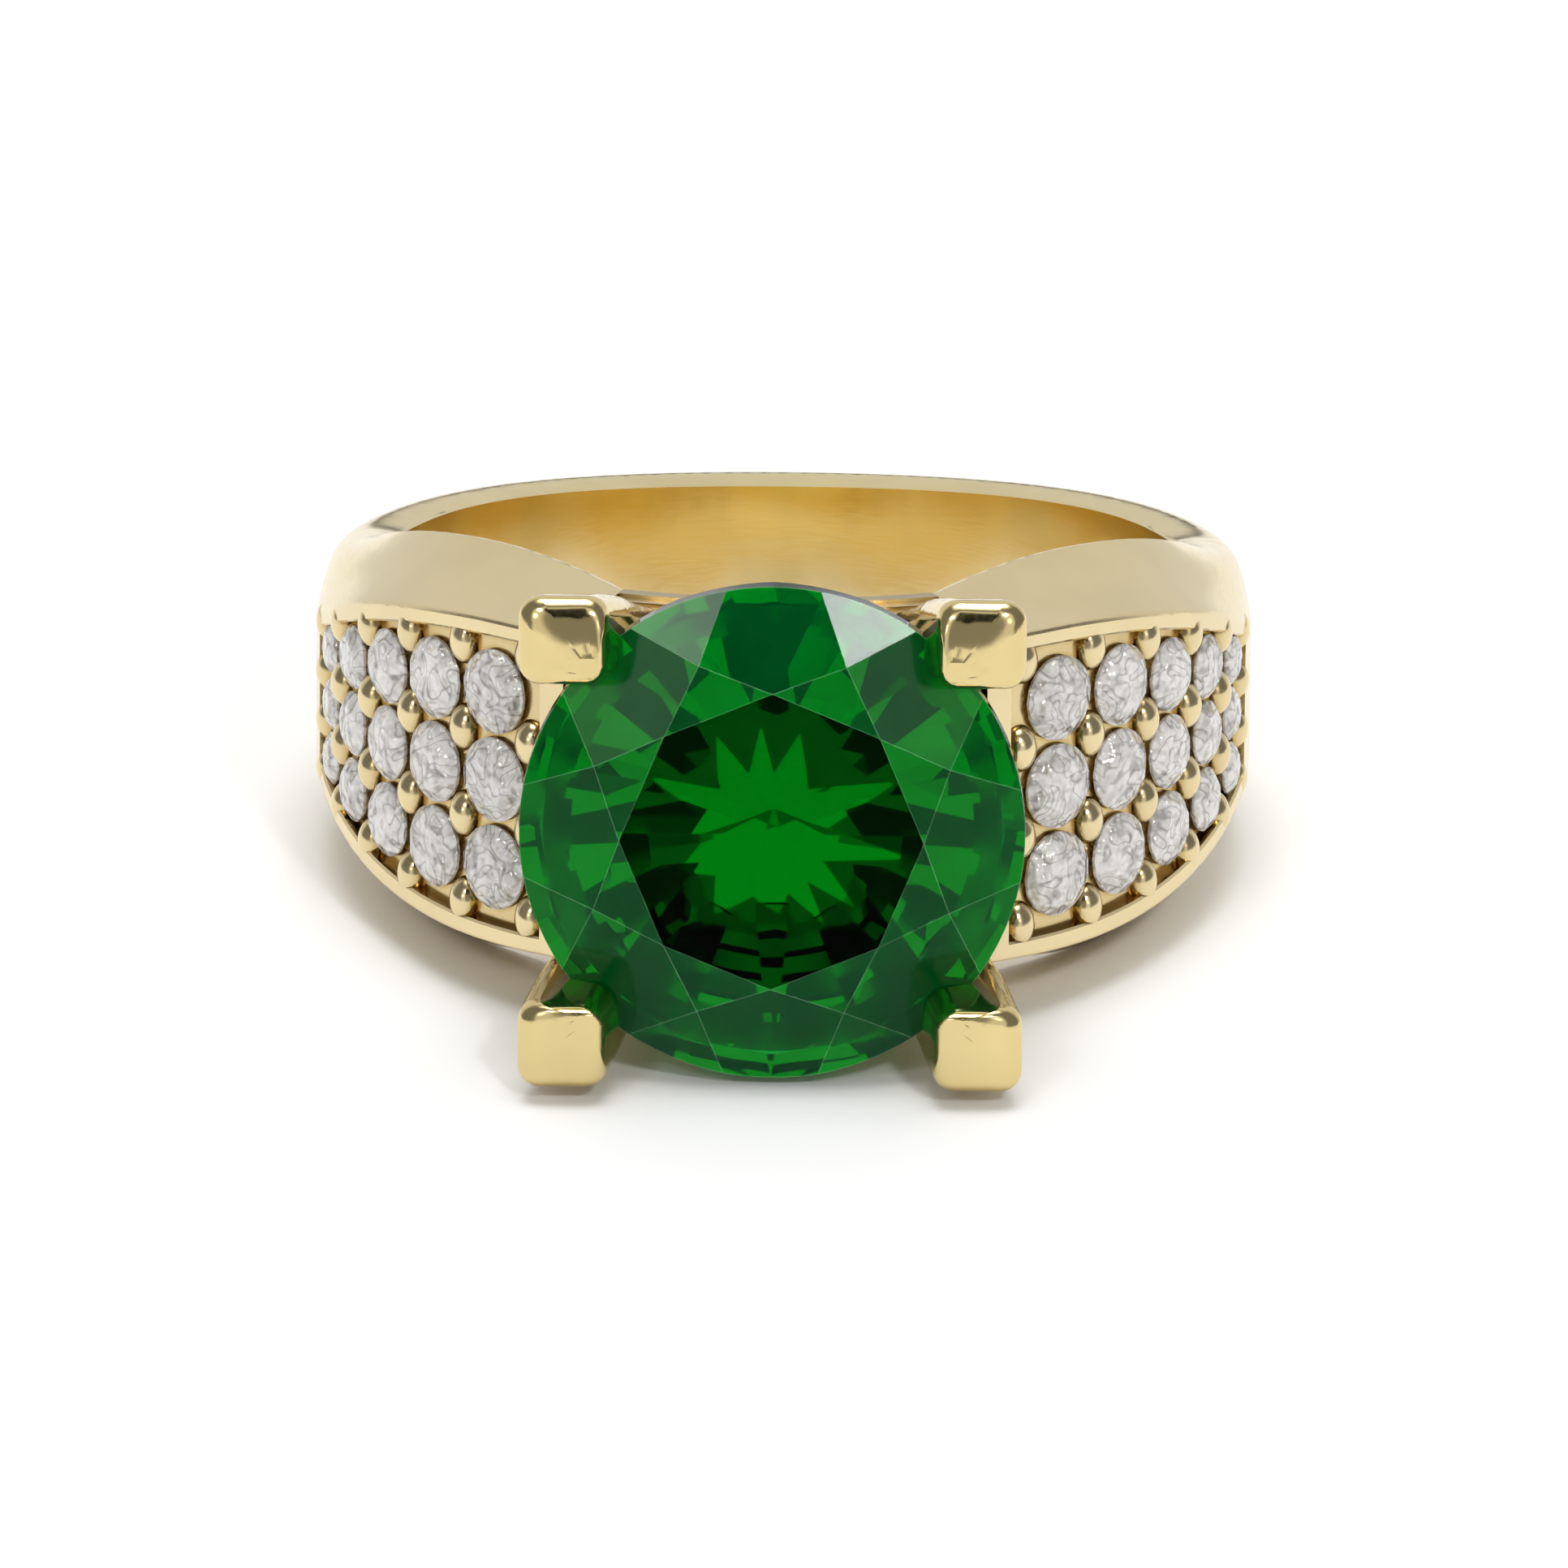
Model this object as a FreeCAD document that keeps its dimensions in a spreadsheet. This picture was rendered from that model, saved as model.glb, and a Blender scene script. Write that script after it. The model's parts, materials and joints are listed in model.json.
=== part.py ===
import FreeCAD, Part
import math
import os
import Sketcher

# Cocktail ring, millimetres.
# Everything is drawn in the ring's own frame: Z is the finger axis, the centre stone looks along -Y and X
# runs from the left shoulder to the right one. A place on the band is an angle round the finger axis, zero
# at the centre stone and positive towards +X, with a radius from that axis and a distance along it.
# At the end the whole ring is laid down on its side, as it rests on a table.

Vector = FreeCAD.Vector
doc = FreeCAD.newDocument("cocktail_ring")

# ---------------------------------------------------------------- driving dimensions

SIZES = (
    ("bore_radius", 8.65),
    ("bore_land", 0.12),
    ("bore_round", 0.10),
    ("rim_round", 0.08),
    ("field_chamfer", 0.05),
    ("back_radius", 10.04),
    ("shoulder_rise", 1.90),
    ("rise_from_angle", 20),
    ("rise_to_angle", 130),
    ("rise_power", 3.3),
    ("head_angle", 22),
    ("shank_angle", 100),
    ("back_half_width", 2.23),
    ("side_half_width", 2.55),
    ("widest_half_width", 4.42),
    ("widest_angle", 43),
    ("side_angle", 113),
    ("bridge_half_width", 3.80),
    ("bridge_radius", 9.75),
    ("bridge_step", 0.07),
    ("field_half_width", 3.13),
    ("field_tail_half_width", 0.43),
    ("field_widest_angle", 30),
    ("field_tail_angle", 114),
    ("field_start_angle", 25),
    ("field_end_angle", 77.5),
    ("field_depth", 0.28),
    ("rim_width", 0.38),
    ("round_from_angle", 60),
    ("round_to_angle", 112),
    ("side_bulge", 0.25),
    ("corner_bulge", 0.12),
    ("pave_columns", 5),
    ("pave_rows", 3),
    ("pave_first_angle", 32),
    ("pave_pitch_angle", 10.2),
    ("pave_stand", 0.12),
    ("pave_crown_share", 0.28),
    ("pave_fill", 0.475),
    ("row_pitch_least", 0.34),
    ("row_pitch_share", 0.5),
    ("field_flare", 0.30),
    ("grain_length", 0.52),
    ("grain_width", 0.40),
    ("grain_sunk", 0.05),
    ("stone_radius", 5.25),
    ("stone_height", 13.70),
    ("girdle_share", 0.062),
    ("crown_share", 0.15),
    ("table_share", 0.60),
    ("star_share", 0.76),
    ("pavilion_angle", 41),
    ("culet_window_radius", 1.20),
    ("claw_tip_height", 15.08),
    ("claw_tip_spread", 4.39),
    ("claw_lean", 0.20),
    ("claw_full_height", 13.50),
    ("claw_foot_height", 9.50),
    ("claw_root", 0.90),
    ("claw_foot_spread", 3.10),
    ("claw_tip_half", 0.945),
    ("claw_foot_half", 0.68),
    ("claw_dome", 0.62),
    ("seat_rail_radius", 4.80),
    ("seat_rail_top", 12.75),
    ("seat_rail_foot", 12.10),
    ("base_rail_radius", 4.35),
    ("base_rail_bore", 3.45),
    ("base_rail_top", 10.55),
    ("base_rail_foot", 9.95),
)

sheet = doc.addObject("Spreadsheet::Sheet", "Sizes")
for line, (alias, value) in enumerate(SIZES, start=1):
    sheet.set(f"A{line}", alias)
    sheet.set(f"B{line}", str(value))
    sheet.setAlias(f"B{line}", alias)
doc.recompute()


def size(alias):
    """A driving dimension from the sheet."""
    return float(sheet.get(alias))


def share(start, end, value):
    """How far value is from start to end, kept between 0 and 1."""
    return min(1.0, max(0.0, (value - start) / (end - start)))


def ease(first, last, part):
    """A smooth change from first to last, level at both ends."""
    return first + (last - first) * (1 - math.cos(math.pi * part)) / 2


# ---------------------------------------------------------------- the band's outline round the finger

def outer_radius(angle):
    """The band's outer radius, which climbs towards the head."""
    climb = share(size("rise_to_angle"), size("rise_from_angle"), angle)
    return size("back_radius") + size("shoulder_rise") * climb ** size("rise_power")


def bore_half_width(angle):
    """Half the band's width at the bore: widest beside the head, narrowest at the back."""
    widest = size("widest_angle")
    if angle < widest:
        narrowing = ((widest - angle) / (widest - size("head_angle"))) ** 2
        return size("widest_half_width") - (size("widest_half_width") - size("bridge_half_width")) * narrowing
    if angle < size("side_angle"):
        return ease(size("widest_half_width"), size("side_half_width"), share(widest, size("side_angle"), angle))
    return ease(size("side_half_width"), size("back_half_width"), share(size("side_angle"), 180, angle))


def field_half_width(angle):
    """Half the width of the recessed field that holds the small stones."""
    along = share(size("field_widest_angle"), size("field_tail_angle"), angle)
    return ease(size("field_half_width"), size("field_tail_half_width"), along)


def on_band(angle, radius, along):
    """The point at an angle, a radius from the finger axis and a distance along it."""
    turn = math.radians(angle)
    return Vector(radius * math.sin(turn), -radius * math.cos(turn), along)


def outward(angle):
    """The direction square to the band's outer surface at an angle."""
    step = 0.5
    slope = (outer_radius(angle + step) - outer_radius(angle - step)) / math.radians(2 * step)
    radial = on_band(angle, 1, 0)
    around = Vector(-radial.y, radial.x, 0)
    direction = radial - around * (slope / outer_radius(angle))
    return direction.normalize()


# ---------------------------------------------------------------- shape helpers

def curve(*poles):
    """One edge through the Bezier curve of these poles."""
    bezier = Part.BezierCurve()
    bezier.setPoles(list(poles))
    return bezier.toShape()


def line(start, end):
    return Part.LineSegment(start, end).toShape()


def loft(wires):
    """A closed solid through these wires."""
    return Part.makeLoft(wires, True, False)


def mirrored(shape):
    """The same shape on the other side of the ring."""
    return shape.mirror(Vector(0, 0, 0), Vector(1, 0, 0))


def ring_of(outline):
    """The solid made by turning an outline of (radius, height) points about Z."""
    corners = [Vector(radius, 0, height) for radius, height in outline]
    face = Part.Face(Part.makePolygon(corners + corners[:1]))
    return face.revolve(Vector(0, 0, 0), Vector(0, 0, 1), 360)


def polyhedron(faces):
    """A closed solid from its flat faces, each a list of corners."""
    shell = Part.makeShell([Part.Face(Part.makePolygon(corners + corners[:1])) for corners in faces])
    solid = Part.makeSolid(shell)
    if solid.Volume < 0:
        solid.reverse()
    return solid


def feature(label, shape):
    """A sub-part whose shape is worked out here."""
    part = doc.addObject("Part::Feature", label)
    part.Label = label
    part.Shape = shape
    return part


# ---------------------------------------------------------------- round brilliant stones

FOLD = 8
KITE_END = 10
LOWER_SHARE = 0.22
SEAT_LIP = 0.8
SEAT_LIP_HEIGHT = 0.66
SEAT_CLEARANCE = 0.03


def polar(radius, angle, height):
    turn = math.radians(angle)
    return Vector(radius * math.cos(turn), radius * math.sin(turn), height)


def stone_sizes(radius):
    """Crown height, girdle thickness and pavilion depth of a stone: the small ones have taller crowns."""
    crown_share = size("crown_share") if radius == size("stone_radius") else size("pave_crown_share")
    crown = crown_share * radius
    girdle = size("girdle_share") * radius
    pavilion = radius * math.tan(math.radians(size("pavilion_angle")))
    return crown, girdle, pavilion


def crown_block(radius):
    """The stone's upper facets on a block that reaches below it: table, stars, kites and girdle facets."""
    crown, girdle, pavilion = stone_sizes(radius)
    pitch = 360 / FOLD
    rim = radius / math.cos(math.radians(pitch / 2 - KITE_END))
    table = size("table_share") * radius
    star = size("star_share") * radius
    kite_foot = rim * math.cos(math.radians(KITE_END))
    star_height = crown * (kite_foot - star * math.cos(math.radians(pitch / 2))) / (kite_foot - table)
    foot = -2 * pavilion
    tables = [polar(table, pitch * k, crown) for k in range(FOLD)]
    stars = [polar(star, pitch * (k + 0.5), star_height) for k in range(FOLD)]
    rims = [
        [polar(rim, pitch * k + side * KITE_END, 0) for side in (-1, 1)]
        for k in range(FOLD)
    ]
    around = [corner for pair in rims for corner in pair]
    below = [Vector(corner.x, corner.y, foot) for corner in around]
    faces = [tables, below[::-1]]
    for k in range(FOLD):
        after = (k + 1) % FOLD
        faces.append([tables[k], stars[k], tables[after]])
        faces.append([tables[k], stars[k - 1], rims[k][0], rims[k][1], stars[k]])
        faces.append([stars[k], rims[k][1], rims[after][0]])
    for k in range(len(around)):
        after = (k + 1) % len(around)
        faces.append([around[k], below[k], below[after], around[after]])
    return polyhedron(faces)


def pavilion_block(radius):
    """The stone's lower facets on a block that reaches above it: eight mains and sixteen lower facets."""
    crown, girdle, pavilion = stone_sizes(radius)
    pitch = 360 / FOLD
    rim = 1.001 * radius / math.cos(math.radians(pitch / 4))
    lower = LOWER_SHARE * radius
    lower_height = -girdle - pavilion * (1 - lower * math.cos(math.radians(pitch / 2)) / rim)
    culet = Vector(0, 0, -girdle - pavilion)
    tips = [polar(lower, pitch * (k + 0.5), lower_height) for k in range(FOLD)]
    around = [polar(rim, pitch * k / 2, -girdle) for k in range(2 * FOLD)]
    above = [Vector(corner.x, corner.y, 2 * crown) for corner in around]
    faces = [above]
    for k in range(FOLD):
        main = around[2 * k]
        middle = around[2 * k + 1]
        following = around[(2 * k + 2) % len(around)]
        faces.append([culet, tips[k], main, tips[k - 1]])
        faces.append([tips[k], middle, main])
        faces.append([tips[k], following, middle])
    for k in range(len(around)):
        after = (k + 1) % len(around)
        faces.append([around[k], around[after], above[after], above[k]])
    return polyhedron(faces)


def brilliant(radius):
    """A round brilliant, its girdle's upper edge at height 0 and its table looking along +Z."""
    crown, girdle, pavilion = stone_sizes(radius)
    blank = Part.makeCylinder(radius, 3 * pavilion, Vector(0, 0, -2 * pavilion))
    return blank.common(crown_block(radius)).common(pavilion_block(radius))


def stone_seat(radius, above):
    """The space a stone takes up in the metal, open above the outer part of its crown."""
    crown, girdle, pavilion = stone_sizes(radius)
    clearance = SEAT_CLEARANCE * crown
    lip = SEAT_LIP * radius
    return ring_of([
        (0, -girdle - (1 + SEAT_CLEARANCE) * pavilion),
        (radius, -girdle),
        (radius, clearance),
        (lip, SEAT_LIP_HEIGHT * crown + clearance),
        (lip, above),
        (0, above),
    ])


# ---------------------------------------------------------------- shank and shoulders

SUNK = 0.5
BULGE_START = 0.9
SHANK_SECTIONS = 9
SHOULDER_SECTIONS = 14
FIELD_SECTIONS = 7


def band_side(angle):
    """One side of the band's section at an angle, as curves of (radius, half width) poles from bore to rim.

    The side is straight at the shoulders, which makes the section a keystone, and bulges towards the back.
    """
    radius = outer_radius(angle)
    bore = size("bore_radius")
    land = bore + size("bore_land")
    wide = bore_half_width(angle)
    narrow = field_half_width(angle) + size("rim_width")
    roundness = ease(0, 1, share(size("round_from_angle"), size("round_to_angle"), angle))
    round_poles = [
        (land + BULGE_START * (radius - land), wide + size("side_bulge")),
        (radius, wide + size("corner_bulge")),
    ]
    poles = []
    for part, (round_radius, round_width) in zip((1 / 3, 2 / 3), round_poles):
        straight_radius = land + (radius - land) * part
        straight_width = wide + (narrow - wide) * part
        poles.append((
            straight_radius + (round_radius - straight_radius) * roundness,
            straight_width + (round_width - straight_width) * roundness,
        ))
    last_radius, last_width = poles[-1]
    reach = size("rim_round") / math.hypot(radius - last_radius, last_width - narrow)
    rim = (radius + (last_radius - radius) * reach, narrow + (last_width - narrow) * reach)
    sunk_width = wide - size("bore_round")
    return (
        [(bore - SUNK, sunk_width), (bore - size("bore_round"), sunk_width)],
        [(bore - size("bore_round"), sunk_width), (bore, wide), (land, wide)],
        [(land, wide), *poles, rim],
        [rim, (radius, narrow), (radius, narrow - size("rim_round"))],
    )


def band_section(angle):
    """The band's whole section at an angle, down to a little inside the bore."""
    side = band_side(angle)
    mirror_side = [[(radius, -along) for radius, along in poles[::-1]] for poles in side[::-1]]
    outer = [side[-1][-1], mirror_side[0][0]]
    inner = [mirror_side[-1][-1], side[0][0]]
    edges = []
    for poles in [*side, outer, *mirror_side, inner]:
        edges.append(curve(*[on_band(angle, radius, along) for radius, along in poles]))
    return Part.Wire(edges)


def spread(start, end, count):
    """Evenly spaced values from start to end, both included."""
    return [start + (end - start) * k / (count - 1) for k in range(count)]


def finger_bore():
    reach = 2 * size("widest_half_width")
    return Part.makeCylinder(size("bore_radius"), 2 * reach, Vector(0, 0, -reach))


def make_shank():
    """The plain back of the band."""
    start = size("shank_angle")
    half = spread(start, 180, SHANK_SECTIONS)
    sections = [band_section(angle) for angle in half]
    for angle in half[-2::-1]:
        section = band_section(angle)
        sections.append(mirrored(section))
    return loft(sections).cut(finger_bore())


def field_tool():
    """What the recessed field takes out of a shoulder, with a chamfer along the rims."""
    sections = []
    above = size("field_flare")
    for angle in spread(size("field_start_angle"), size("field_end_angle"), FIELD_SECTIONS):
        wide = field_half_width(angle)
        radius = outer_radius(angle)
        flare = above + size("field_chamfer")
        half = [
            (radius - size("field_depth"), wide),
            (radius - size("field_chamfer"), wide),
            (radius + above, wide + flare),
        ]
        outline = half + [(rad, -along) for rad, along in half[::-1]]
        corners = [on_band(angle, rad, along) for rad, along in outline]
        sections.append(Part.makePolygon(corners + corners[:1]))
    return loft(sections)


def row_pitch(angle):
    """The distance between the rows of small stones, which close up as the field narrows."""
    return size("row_pitch_share") * field_half_width(angle) + size("row_pitch_least")


def pave_radius(angle):
    return size("pave_fill") * row_pitch(angle)


def column_angles():
    first = size("pave_first_angle")
    return [first + size("pave_pitch_angle") * k for k in range(int(size("pave_columns")))]


def field_place(angle, along, stand):
    """A placement on the field's floor, with its own Z square to the floor and its own X along the finger."""
    floor = on_band(angle, outer_radius(angle) - size("field_depth"), along)
    up = outward(angle)
    finger = Vector(0, 0, 1)
    across = up.cross(finger)
    return FreeCAD.Placement(floor + up * stand, FreeCAD.Rotation(finger, across, up, "ZXY"))


def placed(shape, placement):
    moved = shape.copy()
    moved.Placement = placement
    return moved


def pave_places():
    """Column, row, radius and placement of every small stone of the right shoulder, the top row first."""
    places = []
    for column, angle in enumerate(column_angles(), start=1):
        middle = (size("pave_rows") + 1) / 2
        for row in range(1, int(size("pave_rows")) + 1):
            along = (middle - row) * row_pitch(angle)
            place = field_place(angle, along, size("pave_stand"))
            places.append((column, row, pave_radius(angle), place))
    return places


def grain():
    """One bead of metal that holds the corners of four small stones, long along the finger.

    Its seam runs underneath, where the floor hides it.
    """
    long = size("grain_length")
    short = size("grain_width")
    oval = Part.Ellipse(Vector(long, 0, 0), Vector(0, 0, -short), Vector(0, 0, 0))
    half = Part.Arc(oval, 0, math.pi).toShape()
    axis = line(Vector(-long, 0, 0), Vector(long, 0, 0))
    face = Part.Face(Part.Wire([half, axis]))
    return face.revolve(Vector(0, 0, 0), Vector(1, 0, 0), 360)


def grain_shapes():
    """All the beads of the right shoulder: before, between and after the columns, on each row boundary."""
    bead = grain()
    first = size("pave_first_angle") - size("pave_pitch_angle") / 2
    count = int(size("pave_columns")) + 1
    boundaries = int(size("pave_rows")) + 1
    beads = []
    for k in range(count):
        angle = first + size("pave_pitch_angle") * k
        for boundary in range(boundaries):
            along = (boundary - (boundaries - 1) / 2) * row_pitch(angle)
            beads.append(placed(bead, field_place(angle, along, -size("grain_sunk"))))
    return beads


LIGHT_HOLE_SHARE = 0.42
ABOVE_STONE = 2


def pave_cuts():
    """Seats and light holes for the small stones of the right shoulder."""
    tools = []
    for column, row, radius, place in pave_places():
        tools.append(placed(stone_seat(radius, ABOVE_STONE), place))
        depth = outer_radius(column_angles()[column - 1]) - size("bore_radius") + SUNK
        hole = Part.makeCylinder(LIGHT_HOLE_SHARE * radius, depth, Vector(0, 0, -depth))
        tools.append(placed(hole, place))
    return tools


def make_right_shoulder(neighbours):
    """A shoulder with its recessed field, grains, seats and light holes, notched for the head."""
    start = size("head_angle")
    body = loft([band_section(angle) for angle in spread(start, size("shank_angle"), SHOULDER_SECTIONS)])
    body = body.cut(finger_bore())
    body = body.cut(field_tool())
    body = body.multiFuse(grain_shapes())
    body = body.cut(pave_cuts())
    return body.cut(neighbours)


# ---------------------------------------------------------------- the head

def claw_spread(height):
    """How far a claw's middle stands from the stone's axis, across and along the finger alike."""
    fall = size("claw_tip_height") - size("claw_foot_height")
    bend = (size("claw_tip_spread") - size("claw_foot_spread") - size("claw_lean") * fall) / fall ** 2
    below = size("claw_tip_height") - height
    return size("claw_tip_spread") - size("claw_lean") * below - bend * below ** 2


DOME_POWER = 3.0
DOME_BIAS = 0.8
CORNER_SHARE = 0.5
SHAFT_SECTIONS = 8
DOME_TURNS = (20, 38, 54, 67, 77, 84)


def claw_half(height):
    """Half a claw's width without its dome, which grows from the foot."""
    growth = share(size("claw_foot_height"), size("claw_full_height"), height)
    return ease(size("claw_foot_half"), size("claw_tip_half"), growth)


def dome_closing(height):
    """How much of a claw's width is left at a height in its dome."""
    climb = share(size("claw_tip_height") - size("claw_dome"), size("claw_tip_height"), height)
    return (1 - climb ** DOME_POWER) ** (1 / DOME_POWER)


def claw_section(height):
    """A rounded square across a claw; the dome closes mostly from the side away from the stone."""
    half = claw_half(height) * dome_closing(height)
    middle = claw_spread(height) - DOME_BIAS * (claw_half(height) - half)
    corner = CORNER_SHARE * half
    bend = corner * (1 - math.sqrt(0.5))
    pieces = []
    for k in range(4):
        turn = FreeCAD.Rotation(Vector(0, 0, 1), 90 * k)

        def at(x, y):
            spot = turn.multVec(Vector(x, y, 0))
            return Vector(middle + spot.x, -height, middle + spot.y)

        pieces.append(line(at(half, corner - half), at(half, half - corner)))
        arc = Part.Arc(at(half, half - corner), at(half - bend, half - bend), at(half - corner, half))
        pieces.append(arc.toShape())
    return Part.Wire(pieces)


def make_upper_right_claw(neighbours):
    """A square claw that leans in towards its foot, with a domed tip, notched for its neighbours."""
    top = size("claw_tip_height")
    dome = size("claw_dome")
    shaft = spread(size("claw_foot_height") - size("claw_root"), top - dome, SHAFT_SECTIONS)
    turns = [math.radians(degrees) for degrees in DOME_TURNS]
    tip = [top - dome * (1 - math.sin(turn) ** (2 / DOME_POWER)) for turn in turns]
    body = loft([claw_section(height) for height in shaft + tip])
    return body.cut(neighbours)


def head_place():
    """From a stone's own frame to its place over the bridge, a table corner towards +Z."""
    up = Vector(0, -1, 0)
    finger = Vector(0, 0, 1)
    rotation = FreeCAD.Rotation(finger, up.cross(finger), up, "ZXY")
    return FreeCAD.Placement(Vector(0, -size("stone_height"), 0), rotation)


def origin_plane(body, role):
    return next(plane for plane in body.Origin.OriginFeatures if plane.Role == role)


def outline_sketch(body, name, corners):
    """A closed outline in the YZ plane; each corner is a pair of expressions of the sheet's cells."""
    sketch = body.newObject("Sketcher::SketchObject", name)
    sketch.AttachmentSupport = (origin_plane(body, "YZ_Plane"), "")
    sketch.MapMode = "FlatFace"
    values = [[sketch.evalExpression(text) for text in corner] for corner in corners]
    spots = [Vector(float(x), float(y), 0) for x, y in values]
    for k, spot in enumerate(spots):
        sketch.addGeometry(Part.LineSegment(spot, spots[(k + 1) % len(spots)]))
    for k, (x, y) in enumerate(corners):
        sketch.addConstraint(Sketcher.Constraint("Coincident", k, 2, (k + 1) % len(spots), 1))
        for kind, text, value in (("DistanceX", x, spots[k].x), ("DistanceY", y, spots[k].y)):
            number = sketch.addConstraint(Sketcher.Constraint(kind, -1, 1, k, 1, value))
            sketch.setExpression(f"Constraints[{number}]", text)
    return sketch


def turned_body(label, corners, axis):
    """A sub-part turned from an outline in the YZ plane, about one of the sketch's axes."""
    body = doc.addObject("PartDesign::Body", label)
    body.Label = label
    sketch = outline_sketch(body, label + "_outline", corners)
    turning = body.newObject("PartDesign::Revolution", label + "_turning")
    turning.Profile = sketch
    turning.ReferenceAxis = (sketch, [axis])
    return body, turning


def make_bridge():
    """The front of the band under the head, its long edges stepped, with a window for the culet."""
    steps = 3
    corners = []
    for side in (1, -1):
        sign = "" if side > 0 else "-"
        run = []
        for k in range(steps):
            width = f"{sign}(Sizes.bridge_half_width - {k} * Sizes.bridge_step)"
            for mark in (k, k + 1):
                reach = f"(Sizes.bridge_radius - Sizes.bore_radius) * {mark} / {steps}"
                run.append((f"-(Sizes.bore_radius + {reach})", width))
        corners += run if side > 0 else run[::-1]
    body, turning = turned_body("bridge", corners, "V_Axis")
    turning.Midplane = True
    turning.setExpression("Angle", "2 * Sizes.head_angle")
    doc.recompute()
    whole = body.Shape.Volume
    window = body.newObject("Sketcher::SketchObject", "culet_window_outline")
    window.AttachmentSupport = (origin_plane(body, "XZ_Plane"), "")
    window.MapMode = "FlatFace"
    window.addGeometry(Part.Circle(Vector(0, 0, 0), Vector(0, 0, 1), size("culet_window_radius")))
    window.addConstraint(Sketcher.Constraint("Coincident", 0, 3, -1, 1))
    number = window.addConstraint(Sketcher.Constraint("Radius", 0, size("culet_window_radius")))
    window.setExpression(f"Constraints[{number}]", "Sizes.culet_window_radius")
    pocket = body.newObject("PartDesign::Pocket", "culet_window")
    pocket.Profile = window
    pocket.Type = "ThroughAll"
    pocket.Midplane = True
    doc.recompute()
    if body.Shape.Volume > whole - 0.5:
        raise RuntimeError("the culet window cut nothing")
    return body


def make_seat_rail():
    """The upper rail, whose slanted inside carries the centre stone."""
    slope = "(Sizes.stone_radius * tan(Sizes.pavilion_angle * 1 deg) * 1.03)"
    ledge = "(Sizes.stone_height - Sizes.girdle_share * Sizes.stone_radius"

    def inside(level):
        return f"Sizes.stone_radius * (1 - {ledge} - {level}) / {slope})"

    top = "Sizes.seat_rail_top"
    foot = "Sizes.seat_rail_foot"
    corners = [
        (f"-{top}", inside(top)),
        (f"-{top}", "Sizes.seat_rail_radius"),
        (f"-{foot}", "Sizes.seat_rail_radius"),
        (f"-{foot}", inside(foot)),
    ]
    body, turning = turned_body("seat_rail", corners, "H_Axis")
    turning.Angle = 360
    return body


def make_base_rail():
    """The lower rail, which ties the feet of the claws together just above the bridge."""
    corners = [
        ("-Sizes.base_rail_top", "Sizes.base_rail_bore"),
        ("-Sizes.base_rail_top", "Sizes.base_rail_radius"),
        ("-Sizes.base_rail_foot", "Sizes.base_rail_radius"),
        ("-Sizes.base_rail_foot", "Sizes.base_rail_bore"),
    ]
    body, turning = turned_body("base_rail", corners, "H_Axis")
    turning.Angle = 360
    return body


# ---------------------------------------------------------------- the pieces

reach = 2 * size("widest_half_width")
bridge = make_bridge()
seat_rail = make_seat_rail()
base_rail = make_base_rail()
doc.recompute()
pieces = [bridge, seat_rail, base_rail]

pieces.append(feature("centre_stone", placed(brilliant(size("stone_radius")), head_place())))

stone_space = placed(stone_seat(size("stone_radius"), size("stone_radius")), head_place())
band_top = Part.makeCylinder(size("bridge_radius"), 2 * reach, Vector(0, 0, -reach))
upper_right = make_upper_right_claw([stone_space, band_top, seat_rail.Shape, base_rail.Shape])
lower_right = upper_right.mirror(Vector(0, 0, 0), Vector(0, 0, 1))
pieces.append(feature("claw_upper_right", upper_right))
pieces.append(feature("claw_lower_right", lower_right))
pieces.append(feature("claw_upper_left", mirrored(upper_right)))
pieces.append(feature("claw_lower_left", mirrored(lower_right)))

shank = feature("shank", make_shank())
right = make_right_shoulder([upper_right, lower_right, base_rail.Shape])
right_shoulder = feature("right_shoulder", right)
left_shoulder = feature("left_shoulder", mirrored(right))
pieces += [shank, right_shoulder, left_shoulder]

cut_stones = {}
for column, row, radius, place in pave_places():
    if column not in cut_stones:
        cut_stones[column] = brilliant(radius)
    stone = placed(cut_stones[column], place)
    pieces.append(feature(f"pave_right_c{column}_r{row}", stone))
    pieces.append(feature(f"pave_left_c{column}_r{row}", mirrored(stone)))
doc.recompute()


# ---------------------------------------------------------------- laying the ring down

def corner_points(shape):
    """Points all over a shape's surface."""
    fineness = 0.01
    return shape.tessellate(fineness)[0]


def lowest(points, tilt):
    """The height of the lowest point when the ring is tipped back by tilt degrees."""
    turn = math.radians(tilt)
    return min(point.z * math.cos(turn) - point.y * math.sin(turn) for point in points)


def resting_tilt():
    """The tilt at which the lower edges of the shoulders and of the shank touch the table together."""
    front = corner_points(right_shoulder.Shape)
    back = corner_points(shank.Shape)
    low, high = 0.0, 20.0
    for _ in range(40):
        middle = (low + high) / 2
        if lowest(front, middle) < lowest(back, middle):
            low = middle
        else:
            high = middle
    return (low + high) / 2


tilt = resting_tilt()
lay = FreeCAD.Placement(Vector(0, 0, 0), FreeCAD.Rotation(Vector(1, 0, 0), -tilt))
laid = Part.makeCompound([placed(piece.Shape, lay.multiply(piece.Placement)) for piece in pieces])
box = laid.optimalBoundingBox(False, False)
lay.Base = Vector(-box.Center.x, -box.Center.y, -box.ZMin)
for piece in pieces:
    piece.Placement = lay.multiply(piece.Placement)
doc.recompute()

# ---------------------------------------------------------------- checks and files

for item in doc.Objects:
    if "Invalid" in item.State or "Error" in item.State:
        raise RuntimeError(f"{item.Name} did not build: {item.State}")
for piece in pieces:
    shape = piece.Shape
    if shape.isNull() or not shape.isValid() or len(shape.Solids) != 1:
        raise RuntimeError(f"{piece.Label} is not one valid solid")

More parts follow.
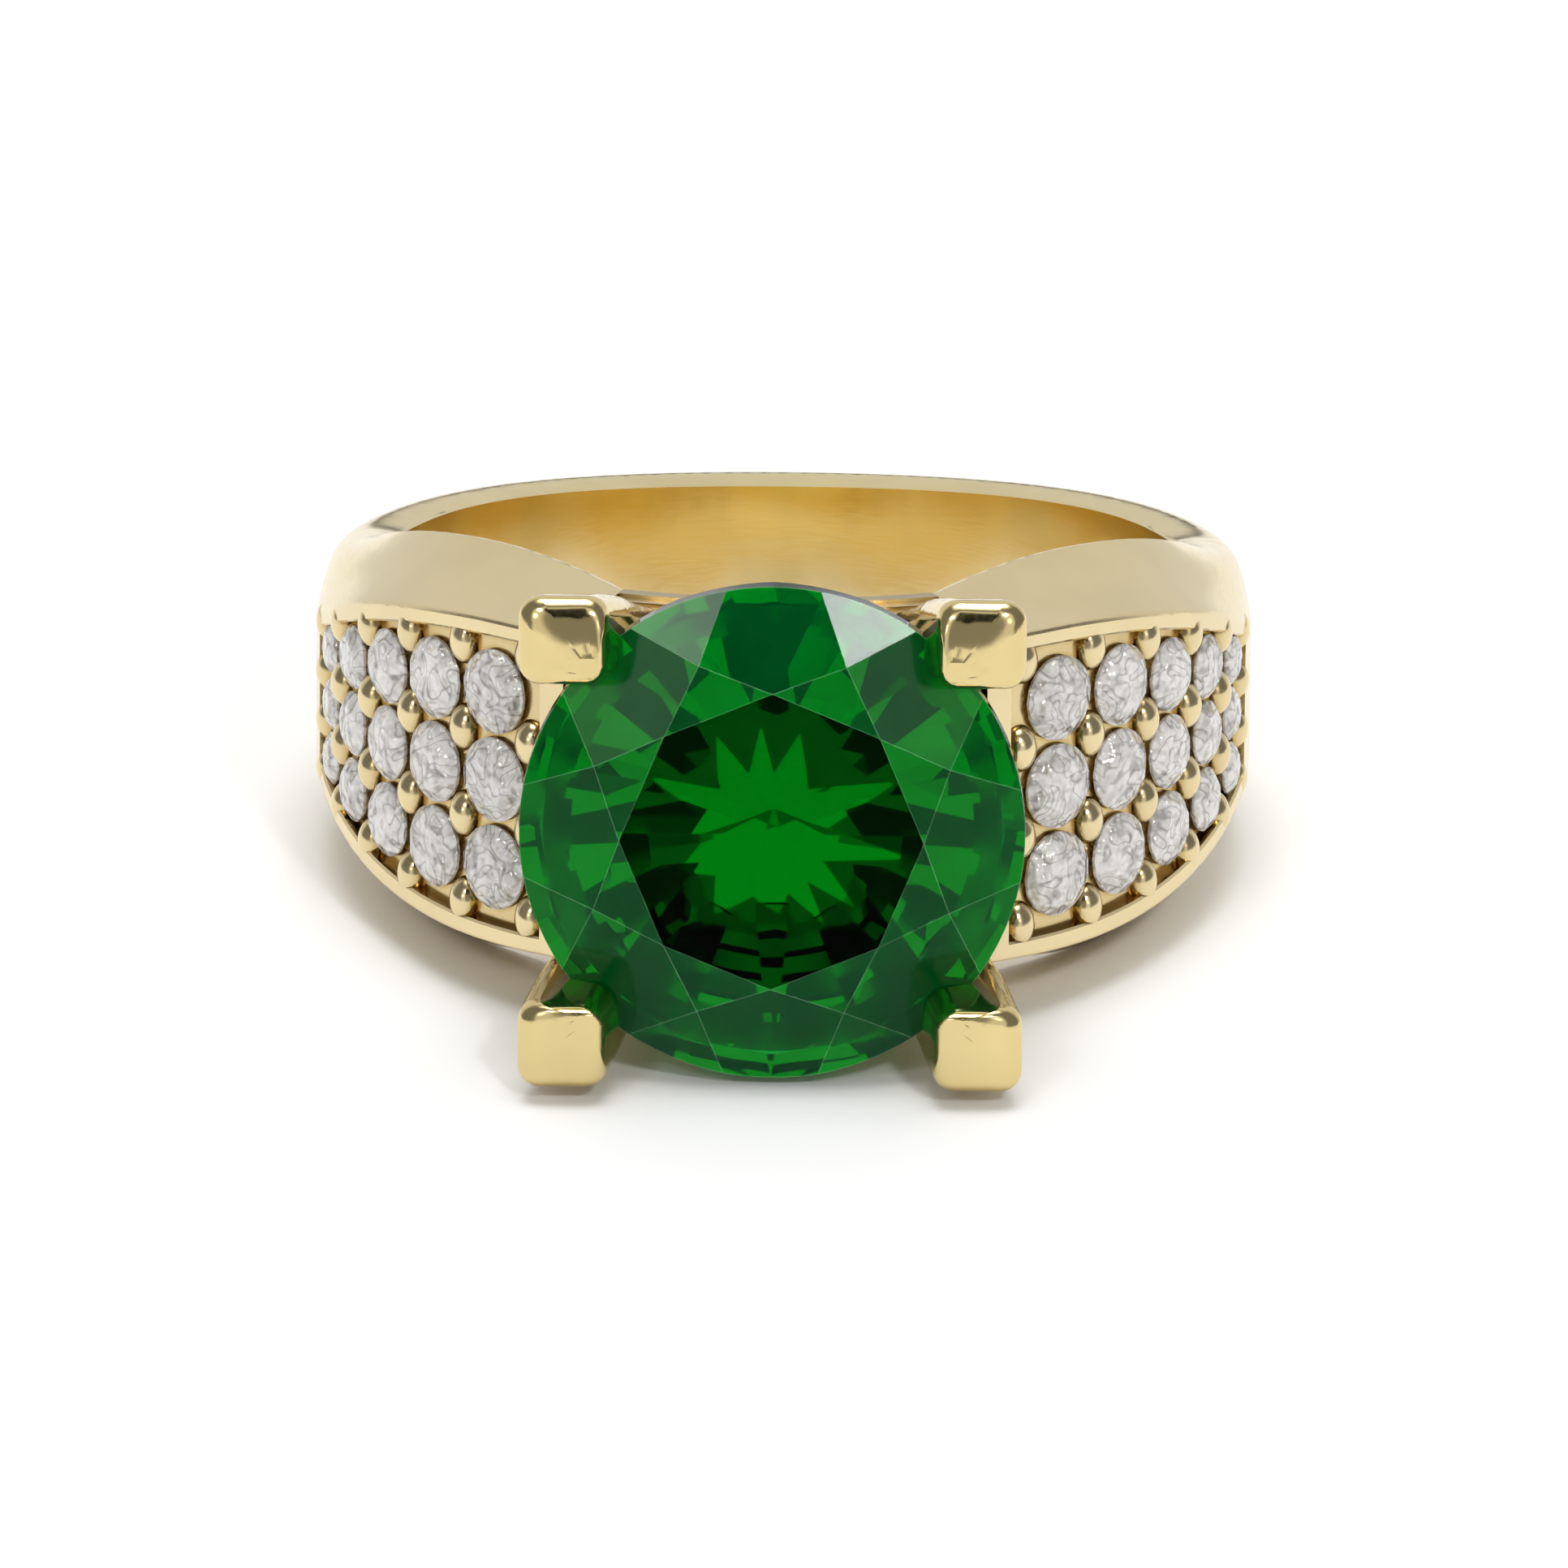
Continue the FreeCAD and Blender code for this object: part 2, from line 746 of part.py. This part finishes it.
os.makedirs("parts", exist_ok=True)
for piece in pieces:
    piece.Shape.exportStep(f"parts/{piece.Label}.step")
print(len(pieces), "pieces, tilt", round(tilt, 3), "centre", lay.Base)
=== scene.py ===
import bpy
import json
import math
from mathutils import Matrix, Vector

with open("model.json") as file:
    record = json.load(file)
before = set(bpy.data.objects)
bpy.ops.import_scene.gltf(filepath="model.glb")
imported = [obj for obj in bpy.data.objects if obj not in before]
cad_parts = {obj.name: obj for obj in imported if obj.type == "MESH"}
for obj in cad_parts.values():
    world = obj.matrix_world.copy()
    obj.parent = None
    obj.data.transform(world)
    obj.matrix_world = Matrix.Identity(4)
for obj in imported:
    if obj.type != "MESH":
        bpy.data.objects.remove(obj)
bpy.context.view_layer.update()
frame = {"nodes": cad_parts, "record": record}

# Cocktail ring, metres, in the frame of the CAD model.
# The ring's own axes come from its finger bore: FINGER runs along the finger, OUT from the finger
# towards the centre stone and ACROSS from the left shoulder to the right one.
# STONE_OUT is how far out from the finger's axis the centre stone's edge lies, in millimetres.

MM = 0.001
NODES = frame["nodes"]
BORE = next(mount for mount in frame["record"]["mounts"] if mount["name"] == "finger_bore")
CENTRE = Vector(BORE["pos_m"])
FINGER = Vector(BORE["axis"]).normalized()
ACROSS = Vector((1, 0, 0))
OUT = ACROSS.cross(FINGER)
STONE_OUT = 13.7

scene = bpy.context.scene


def place(across, out, finger):
    """A point given in millimetres along the ring's own axes."""
    return CENTRE + (ACROSS * across + OUT * out + FINGER * finger) * MM


def bearing(azimuth, elevation):
    """A direction: degrees from straight ahead of the ring towards its right, and degrees of height."""
    a, e = math.radians(azimuth), math.radians(elevation)
    return Vector((math.sin(a) * math.cos(e), -math.cos(a) * math.cos(e), math.sin(e)))


# ---------------------------------------------------------------- camera

LENS = 310.3
SENSOR = 36
CAMERA_DISTANCE = 0.280
CAMERA_UP = math.radians(14.49)
CAMERA_TURN = math.radians(0.98)
CAMERA_ROLL = math.radians(0.40)
AIM_RIGHT = 0.248
AIM_UP = 1.017
NEAREST, FARTHEST = 0.01, 20


def make_camera():
    """The camera, aimed a little above the centre stone, with its angles measured from the stone's axis."""
    ahead = OUT * math.cos(CAMERA_TURN) + ACROSS * math.sin(CAMERA_TURN)
    back = ahead * math.cos(CAMERA_UP) + FINGER * math.sin(CAMERA_UP)
    right = FINGER.cross(back).normalized()
    up = back.cross(right)
    turned_right = right * math.cos(CAMERA_ROLL) + up * math.sin(CAMERA_ROLL)
    turned_up = up * math.cos(CAMERA_ROLL) - right * math.sin(CAMERA_ROLL)
    stone = place(0, STONE_OUT, 0)
    spot = stone + back * CAMERA_DISTANCE
    aim = stone + (turned_right * AIM_RIGHT + turned_up * AIM_UP) * MM
    look = (aim - spot).normalized()
    side = look.cross(turned_up).normalized()
    top = side.cross(look)
    data = bpy.data.cameras.new("camera")
    data.lens = LENS
    data.sensor_width = SENSOR
    data.clip_start = NEAREST
    data.clip_end = FARTHEST
    camera = bpy.data.objects.new("camera", data)
    camera.matrix_world = Matrix.Translation(spot) @ Matrix((side, top, -look)).transposed().to_4x4()
    scene.collection.objects.link(camera)
    scene.camera = camera


make_camera()

# ---------------------------------------------------------------- node trees

# The middle of a noise's values, and the span that holds most of them.
NOISE_MIDDLE = 0.5
NOISE_SPAN = (0.3, 0.7)


class Graph:
    """Short ways of adding nodes. A number, a vector, a colour or another socket can feed a socket."""

    def __init__(self, tree):
        self.tree = tree
        tree.nodes.clear()

    def add(self, kind, **values):
        node = self.tree.nodes.new(kind)
        for name, value in values.items():
            setattr(node, name, value)
        return node

    def feed(self, socket, value):
        if isinstance(value, bpy.types.NodeSocket):
            self.tree.links.new(value, socket)
        elif socket.type == "RGBA":
            socket.default_value = (*value, 1)
        else:
            socket.default_value = value

    def maths(self, operation, first, second=0.0):
        node = self.add("ShaderNodeMath", operation=operation)
        self.feed(node.inputs[0], first)
        self.feed(node.inputs[1], second)
        return node.outputs[0]

    def rest(self, value):
        """What is left of 1."""
        return self.maths("SUBTRACT", 1.0, value)

    def vector(self, operation, first, second):
        node = self.add("ShaderNodeVectorMath", operation=operation)
        self.feed(node.inputs[0], first)
        self.feed(node.inputs[1], second)
        return node.outputs["Value" if operation == "DOT_PRODUCT" else "Vector"]

    def dot(self, first, second):
        return self.vector("DOT_PRODUCT", first, second)

    def mixed(self, share, first, second):
        node = self.add("ShaderNodeMix")
        self.feed(node.inputs["Factor"], share)
        self.feed(node.inputs["A"], first)
        self.feed(node.inputs["B"], second)
        return node.outputs[0]

    def blend(self, share, first, second):
        """A colour: first where share is 0, second where it is 1."""
        node = self.add("ShaderNodeMix", data_type="RGBA")
        self.feed(node.inputs["Factor"], share)
        self.feed(node.inputs[6], first)
        self.feed(node.inputs[7], second)
        return node.outputs[2]

    def smooth(self, value, start, end, low=0.0, high=1.0, curve="SMOOTHSTEP"):
        """low where value is at start, high where it is at end, with a soft change between them."""
        node = self.add("ShaderNodeMapRange", interpolation_type=curve)
        for socket, given in zip(node.inputs, (value, start, end, low, high)):
            self.feed(socket, given)
        return node.outputs[0]


class Material(Graph):
    """A material with one Principled shader, and noises laid out in the ring's own space."""

    def __init__(self, name):
        self.material = bpy.data.materials.new(name)
        self.material.use_nodes = True
        super().__init__(self.material.node_tree)
        self.shader = self.add("ShaderNodeBsdfPrincipled")
        self.output = self.add("ShaderNodeOutputMaterial")
        self.feed(self.output.inputs["Surface"], self.shader.outputs[0])
        self.space = self.add("ShaderNodeTexCoord").outputs["Object"]
        self.surface = self.add("ShaderNodeNewGeometry").outputs

    def set(self, name, value):
        self.feed(self.shader.inputs[name], value)

    def stretched(self, factors):
        return self.vector("MULTIPLY", self.space, factors)

    def noise(self, size, vector=None, detail=3.0, twist=0.0):
        """Noise whose patches are about size millimetres across."""
        node = self.add("ShaderNodeTexNoise")
        self.feed(node.inputs["Vector"], vector or self.space)
        self.feed(node.inputs["Scale"], 1 / (size * MM))
        self.feed(node.inputs["Detail"], detail)
        self.feed(node.inputs["Distortion"], twist)
        return node.outputs["Fac"]

    def bump(self, height, strength, distance):
        node = self.add("ShaderNodeBump")
        self.feed(node.inputs["Strength"], strength)
        self.feed(node.inputs["Distance"], distance * MM)
        self.feed(node.inputs["Height"], height)
        self.set("Normal", node.outputs[0])

    def turned(self, direction):
        """How far the face is turned towards a direction, from -1 to 1 where that is a unit vector."""
        return self.dot(self.surface["True Normal"], direction)

    def arm(self, point):
        """The way from a point to the surface."""
        return self.vector("SUBTRACT", self.surface["Position"], point)


def shaded(colour, factor):
    return tuple(part * factor for part in colour)


def grey(level):
    return level, level, level


# ---------------------------------------------------------------- studio

# What surrounds the ring, by direction: angles in degrees, light as a share of plain white.
# A view has a dark core round one bearing, a bright halo round that, dim walls, and light behind
# and overhead.
METAL_VIEW = {
    "front": (1, 16), "core": (14, 22), "halo": (36, 44),
    "bright": 1.0, "middle": 0.28, "dark": 0.36,
}
STONE_VIEW = {
    "front": (1, 8), "core": (15, 19), "halo": (36, 44),
    "bright": 1.6, "middle": 0.55, "dark": 0.15,
}
# BEHIND is a direction's Y; OVERHEAD and ZENITH_SPAN are its elevation in degrees.
BEHIND = (0.0, 0.6)
OVERHEAD = (58, 72)
ZENITH_SPAN = (68, 80)
ZENITH = 6.5
# Each lamp's and shade's azimuth, elevation, full radius and faded radius, then its power or its depth.
LAMPS = (
    (23.5, 39, 2.5, 3.5, 88.0),
    (-26, 38, 3, 5, 18.0),
    (-32, 20, 3, 6, 3.0),
    (30, 20, 3, 6, 2.0),
)
SHADES = (
    (180, -2, 5, 10, 0.9),
    (-1, 38, 10, 14, 0.98),
)
STRENGTH = 0.8
BACKDROP = 0.99


def heights(span):
    return (math.sin(math.radians(elevation)) for elevation in span)


def near(graph, direction, azimuth, elevation, inner, outer):
    """1 within inner degrees of a bearing, falling to 0 at outer degrees."""
    closeness = graph.dot(direction, bearing(azimuth, elevation))
    return graph.smooth(closeness, math.cos(math.radians(outer)), math.cos(math.radians(inner)))


def walls(graph, direction, parts, view):
    """One view's light by direction, without its lamps."""
    behind = graph.smooth(parts["Y"], *BEHIND)
    above = graph.smooth(parts["Z"], *heights(OVERHEAD))
    halo = near(graph, direction, *view["front"], *view["halo"])
    lit = graph.maths("MAXIMUM", graph.maths("MAXIMUM", behind, above), halo)
    level = graph.smooth(lit, 0.0, 1.0, view["middle"], view["bright"])
    return graph.mixed(near(graph, direction, *view["front"], *view["core"]), level, view["dark"])


def make_world():
    """What the metal and the floor see, what is seen through the stones, and a plain pale backdrop."""
    world = bpy.data.worlds.new("studio")
    world.use_nodes = True
    scene.world = world
    scene.view_settings.view_transform = "Standard"
    graph = Graph(world.node_tree)
    direction = graph.add("ShaderNodeTexCoord").outputs["Generated"]
    split = graph.add("ShaderNodeSeparateXYZ")
    graph.feed(split.inputs[0], direction)
    parts = split.outputs
    level = walls(graph, direction, parts, METAL_VIEW)
    level = graph.maths("ADD", level, graph.smooth(parts["Z"], *heights(ZENITH_SPAN), 0.0, ZENITH))
    for azimuth, elevation, inner, outer, depth in SHADES:
        shade = near(graph, direction, azimuth, elevation, inner, outer)
        level = graph.maths("MULTIPLY", level, graph.smooth(shade, 0.0, 1.0, 1.0, 1.0 - depth))
    for azimuth, elevation, inner, outer, power in LAMPS:
        glow = near(graph, direction, azimuth, elevation, inner, outer)
        level = graph.maths("ADD", level, graph.maths("MULTIPLY", glow, power))
    ray = graph.add("ShaderNodeLightPath").outputs
    level = graph.mixed(ray["Is Transmission Ray"], level, walls(graph, direction, parts, STONE_VIEW))
    level = graph.maths("MULTIPLY", level, STRENGTH)
    background = graph.add("ShaderNodeBackground")
    graph.feed(background.inputs["Color"], grey(1))
    graph.feed(background.inputs["Strength"], graph.mixed(ray["Is Camera Ray"], level, BACKDROP))
    output = graph.add("ShaderNodeOutputWorld")
    graph.feed(output.inputs["Surface"], background.outputs[0])


make_world()

FLOOR_RADIUS = 0.5
FLOOR_SIDES = 96
FLOOR_GRAIN = 10 / 3
FLOOR_GRAIN_DETAIL = 2.0
FLOOR_TONES = (0.965, 0.975)
FLOOR_ROUGHNESS = 0.7
FLOOR_GLOSS = 0.1


def make_floor():
    """A matt off-white table top with a barely visible grain."""
    turns = [2 * math.pi * k / FLOOR_SIDES for k in range(FLOOR_SIDES)]
    ring = [(FLOOR_RADIUS * math.cos(turn), FLOOR_RADIUS * math.sin(turn), 0) for turn in turns]
    mesh = bpy.data.meshes.new("floor")
    mesh.from_pydata(ring, [], [list(range(FLOOR_SIDES))])
    floor = bpy.data.objects.new("floor", mesh)
    scene.collection.objects.link(floor)
    paper = Material("floor")
    grain = paper.noise(FLOOR_GRAIN, detail=FLOOR_GRAIN_DETAIL)
    paper.set("Base Color", paper.blend(grain, *(grey(tone) for tone in FLOOR_TONES)))
    paper.set("Roughness", FLOOR_ROUGHNESS)
    paper.set("Specular IOR Level", FLOOR_GLOSS)
    mesh.materials.append(paper.material)


make_floor()

# ---------------------------------------------------------------- gold

# Sizes, reaches, heights and distances are in millimetres, tones are factors.
# The band's outside changes colour between two distances out from the finger's axis, as painted light and
# shade.
FRONT_GOLD = (0.76, 0.63, 0.37)
BACK_GOLD = (0.74, 0.61, 0.32)
FRONT_TO_BACK = (7, -7)
# The claws and rails get the same gold painted darker, as shade.
HEAD_GOLD = (0.73, 0.585, 0.28)

# The faces turned towards the finger, painted brighter as light and browner along the rims as shade, with a
# wavy border.
INNER_LIT_GOLD = (0.97, 0.85, 0.54)
INNER_EDGE_SHADE = (0.78, 0.58, 0.20)
INNER_TURN = (-1, -4)
INNER_WAVE = 4.0
INNER_SWING = 2.4
INNER_SPAN = (1.2, 2.2)

# Painted shade in corners and crevices: the gold is darkened where it sees little sky; CORNER_OPEN is the
# share of sky they see.
CORNER_SHADE_GOLD = (0.42, 0.27, 0.07)
CORNER_REACH = 0.7
CORNER_OPEN = (0.4, 0.92)
CORNER_SAMPLES = 4

CLOUD_SIZE = 2.5
CLOUD_TONES = (0.96, 1.03)
STROKE_SIZE = 0.5
STROKE_DETAIL = 5.0
STROKE_TONES = (0.85, 1.15)
WAVE_SIZE = 1.1
WAVE_DETAIL = 2.0
WAVE_STRENGTH = 0.05
WAVE_HEIGHT = 0.02


def millimetres(span):
    return (value * MM for value in span)


def band_colour(metal):
    """The colour of the band, from under the head to the back, and of its inside, with painted light and
    shade.
    """
    arm = metal.arm(CENTRE)
    backward = metal.smooth(metal.dot(arm, OUT), *millimetres(FRONT_TO_BACK))
    outer = metal.blend(backward, FRONT_GOLD, BACK_GOLD)
    wave = metal.maths("SUBTRACT", metal.noise(INNER_WAVE, detail=0.0), NOISE_MIDDLE)
    height = metal.maths("ABSOLUTE", metal.dot(arm, FINGER))
    height = metal.maths("ADD", height, metal.maths("MULTIPLY", wave, INNER_SWING * MM))
    # Painted shade: the inside turns brown towards the rims.
    inner = metal.blend(metal.smooth(height, *millimetres(INNER_SPAN)), INNER_LIT_GOLD, INNER_EDGE_SHADE)
    return metal.blend(metal.smooth(metal.turned(arm), *millimetres(INNER_TURN)), outer, inner)


def gold(name, colour, corner_shade, roughness, strokes):
    """Polished gold: faint clouds, painted shade in corners, polishing strokes in its shine, and a soft
    wave.

    colour is None where it changes along the band with painted light and shade, corner_shade is the share
    of CORNER_SHADE_GOLD in a corner, and strokes says how much finer the strokes are along X, Y and Z."""
    metal = Material(name)
    metal.set("Metallic", 1.0)
    if colour is None:
        colour = band_colour(metal)
    if corner_shade:
        # Painted shade: ambient occlusion darkens the gold in corners and crevices.
        crevice_shade = metal.add("ShaderNodeAmbientOcclusion", samples=CORNER_SAMPLES)
        metal.feed(crevice_shade.inputs["Distance"], CORNER_REACH * MM)
        share = metal.smooth(crevice_shade.outputs["AO"], *CORNER_OPEN, corner_shade, 0.0)
        colour = metal.blend(share, colour, CORNER_SHADE_GOLD)
    clouded = metal.add("ShaderNodeVectorMath", operation="SCALE")
    metal.feed(clouded.inputs[0], colour)
    metal.feed(clouded.inputs["Scale"], metal.smooth(metal.noise(CLOUD_SIZE), *NOISE_SPAN, *CLOUD_TONES))
    metal.set("Base Color", clouded.outputs[0])
    stroke = metal.noise(STROKE_SIZE, metal.stretched(strokes), STROKE_DETAIL)
    metal.set("Roughness", metal.smooth(stroke, *NOISE_SPAN, *(roughness * tone for tone in STROKE_TONES)))
    metal.bump(metal.noise(WAVE_SIZE, detail=WAVE_DETAIL), WAVE_STRENGTH, WAVE_HEIGHT)
    return metal.material


# ---------------------------------------------------------------- stones

# The star of light that the pavilion facets send back through the table, painted into the table's tint:
# each tip's angle in degrees and its reach, the radius between the tips, and the star's centre across and
# along the finger from the table's, in millimetres.
STAR_TIPS = (
    (-156, 1.90), (-121, 1.97), (-79, 1.70), (-56.5, 2.30), (-39, 2.47), (-9, 3.05),
    (23, 2.95), (71.6, 2.28), (92, 2.35), (115.5, 2.33), (153, 2.66), (173.8, 3.60),
)
STAR_WAIST = 1.32
STAR_SPOT = (-0.15, 0.16)
# Painted light on the star and painted shade around it, as tints of the table.
STAR_PAINTED_LIGHT = 0.40
STAR_BORDER = (1.03, 0.97)
TABLE_PAINTED_SHADE = 0.03

# The turns are cosines: of a face from the stone's axis, and of an edge's bend.
GREEN_IOR = 1.95
GREEN_DEEP = (0.0, 0.86, 0.45)
GREEN_DENSITY = 800.0
GREEN_SKIN = (0.0, 0.33, 0.07)
SKIN_TONES = (0.85, 1.15)
VEIL_SIZE = 1.6
CROWN_CLEAR = 0.87
CROWN_SHINE = 0.19
CROWN_SHINE_ROUGHNESS = 0.12
OUTER_GLOSS = 0.01
TABLE_TURN = (0.985, 0.995)
GIRDLE_TURN = (0.35, 0.2)
# The girdle's darker tint is painted shade.
GIRDLE_SHADE_TINT = 0.2
EDGE_RADIUS = 0.032
EDGE_SAMPLES = 4
EDGE_TURN = (0.9997, 0.998)
# The facet edges get a painted highlight: a pale colour, with less light let through.
EDGE_HIGHLIGHT_MILK = 0.13
EDGE_HIGHLIGHT_COLOUR = (0.40, 0.85, 0.55)


def star_stops():
    """The star's outline: shares of a whole turn, each with the waist's radius over the star's there."""
    stops = []
    for (tip, reach), (following, _) in zip(STAR_TIPS, STAR_TIPS[1:] + STAR_TIPS[:1]):
        gap = (following - tip) % 360
        stops += [(tip, STAR_WAIST / reach), (tip + gap / 2, 1.0)]
    return sorted(((degrees + 180) % 360 / 360, level) for degrees, level in stops)


def star(stone):
    """1 on the painted star of light, 0 around it."""
    arm = stone.arm(place(STAR_SPOT[0], STONE_OUT, STAR_SPOT[1]))
    spans = [stone.dot(arm, axis) for axis in (ACROSS, FINGER)]
    turn = stone.smooth(stone.maths("ARCTAN2", spans[1], spans[0]), -math.pi, math.pi, curve="LINEAR")
    ramp = stone.add("ShaderNodeValToRGB")
    stone.feed(ramp.inputs[0], turn)
    stops = star_stops()
    elements = ramp.color_ramp.elements
    while len(elements) < len(stops):
        elements.new(0.5)
    for element, (position, level) in zip(elements, stops):
        element.position = position
        element.color = (*grey(level), 1)
    squares = [stone.maths("MULTIPLY", span, span) for span in spans]
    radius = stone.maths("SQRT", stone.maths("ADD", *squares))
    share = stone.maths("MULTIPLY", radius, ramp.outputs[0])
    return stone.smooth(share, *(border * STAR_WAIST * MM for border in STAR_BORDER))


def green_stone():
    """Deep green stone: a painted star of light in its table, painted highlights on facet edges, painted
    shade on the girdle, veil and shine.
    """
    stone = Material("green_gem")
    inside = stone.surface["Backfacing"]
    outside = stone.rest(inside)
    facing = stone.turned(OUT)
    table = stone.smooth(facing, *TABLE_TURN)
    girdle_shade = stone.smooth(stone.maths("ABSOLUTE", facing), *GIRDLE_TURN)
    crown = stone.maths("MULTIPLY", stone.rest(table), outside)
    # Painted highlight: pale lines along the facet edges, found with a bevel.
    rounded = stone.add("ShaderNodeBevel", samples=EDGE_SAMPLES)
    stone.feed(rounded.inputs["Radius"], EDGE_RADIUS * MM)
    edge_highlight = stone.maths("MULTIPLY", stone.smooth(stone.turned(rounded.outputs[0]), *EDGE_TURN), outside)
    clear = stone.smooth(crown, 0.0, 1.0, 1.0, CROWN_CLEAR)
    milk = stone.maths("MULTIPLY", edge_highlight, EDGE_HIGHLIGHT_MILK)
    stone.set("Transmission Weight", stone.maths("SUBTRACT", clear, milk))
    stone.set("IOR", GREEN_IOR)
    stone.set("Roughness", 0.0)
    stone.set("Specular Tint", stone.blend(inside, grey(OUTER_GLOSS), grey(1)))
    stone.set("Coat Weight", stone.maths("MULTIPLY", crown, CROWN_SHINE))
    stone.set("Coat Roughness", CROWN_SHINE_ROUGHNESS)
    veil = stone.smooth(stone.noise(VEIL_SIZE), *NOISE_SPAN)
    outer = stone.blend(veil, *(shaded(GREEN_SKIN, tone) for tone in SKIN_TONES))
    outer = stone.blend(edge_highlight, outer, EDGE_HIGHLIGHT_COLOUR)
    # Painted shade: the girdle is darkened to a dark outline.
    outer = stone.blend(girdle_shade, outer, shaded(GREEN_SKIN, GIRDLE_SHADE_TINT))
    # Painted light and shade: the table is tinted bright on the star and dark around it.
    outer = stone.blend(table, outer, stone.blend(star(stone), grey(TABLE_PAINTED_SHADE), grey(STAR_PAINTED_LIGHT)))
    stone.set("Base Color", stone.blend(inside, outer, grey(1)))
    absorb = stone.add("ShaderNodeVolumeAbsorption")
    stone.feed(absorb.inputs["Color"], GREEN_DEEP)
    stone.feed(absorb.inputs["Density"], GREEN_DENSITY)
    stone.feed(stone.output.inputs["Volume"], absorb.outputs[0])
    return stone.material


CLEAR_IOR = 2.15
CLEAR_SHARE = 0.2
# The grey of the painted facet reflections, then the stones' own white.
FACET_REFLECTION_DARK = (0.14, 0.12, 0.10)
CLEAR_PALE = (1.0, 0.975, 0.94)
SWIRL_SIZE = 0.8
SWIRL_TWIST = 2.5
SWIRL_SPAN = (0.0, 0.09)
SWIRL_TONE = 0.45
PATCH_SIZE = 0.28
PATCH_DETAIL = 2.0
PATCH_SPAN = (0.36, 0.62)
PATCH_TONE = 0.72
HAZE_SIZE = 0.2
HAZE_ROUGHNESS = (0.01, 0.06)
CRUMPLE_SIZE = 0.32
CRUMPLE_DETAIL = 1.0
CRUMPLE_STRENGTH = 1.0
CRUMPLE_HEIGHT = 0.26


def clear_stone():
    """White stones: grey swirls and patches painted in as the dark reflections of many small facets, and a
    crumpled shine.
    """
    stone = Material("clear_gem")
    stone.set("Transmission Weight", CLEAR_SHARE)
    stone.set("IOR", CLEAR_IOR)
    # Painted reflections: grey swirls and patches stand in for the dark facets of the small stones.
    swirl = stone.noise(SWIRL_SIZE, detail=0.0, twist=SWIRL_TWIST)
    swirl = stone.maths("SUBTRACT", swirl, NOISE_MIDDLE)
    dark_facet_lines = stone.smooth(stone.maths("ABSOLUTE", swirl), *SWIRL_SPAN, SWIRL_TONE, 1.0)
    dark_facet_patches = stone.smooth(stone.noise(PATCH_SIZE, detail=PATCH_DETAIL), *PATCH_SPAN, PATCH_TONE, 1.0)
    stone.set("Base Color", stone.blend(stone.maths("MULTIPLY", dark_facet_lines, dark_facet_patches), FACET_REFLECTION_DARK, CLEAR_PALE))
    stone.set("Roughness", stone.smooth(stone.noise(HAZE_SIZE), *NOISE_SPAN, *HAZE_ROUGHNESS))
    stone.bump(stone.noise(CRUMPLE_SIZE, detail=CRUMPLE_DETAIL), CRUMPLE_STRENGTH, CRUMPLE_HEIGHT)
    return stone.material


# ---------------------------------------------------------------- every node's material

ALONG_BAND = (1, 1, 9)
ALONG_CLAW = (4, 1, 4)
# Each gold's corner setting is the share of painted shade in its corners.
SHANK = gold("gold_shank", colour=None, corner_shade=0.0, roughness=0.17, strokes=ALONG_BAND)
SHOULDER = gold("gold_shoulder", colour=None, corner_shade=0.9, roughness=0.17, strokes=ALONG_BAND)
HEAD = gold("gold_head", colour=HEAD_GOLD, corner_shade=0.5, roughness=0.12, strokes=ALONG_CLAW)
MATERIALS = {
    "shank": SHANK,
    "left_shoulder": SHOULDER,
    "right_shoulder": SHOULDER,
    "bridge": SHOULDER,
    "seat_rail": HEAD,
    "base_rail": HEAD,
    "claw": HEAD,
    "centre_stone": green_stone(),
    "pave": clear_stone(),
}

for name, node in NODES.items():
    material = next(material for start, material in MATERIALS.items() if name.startswith(start))
    node.data.materials.clear()
    node.data.materials.append(material)
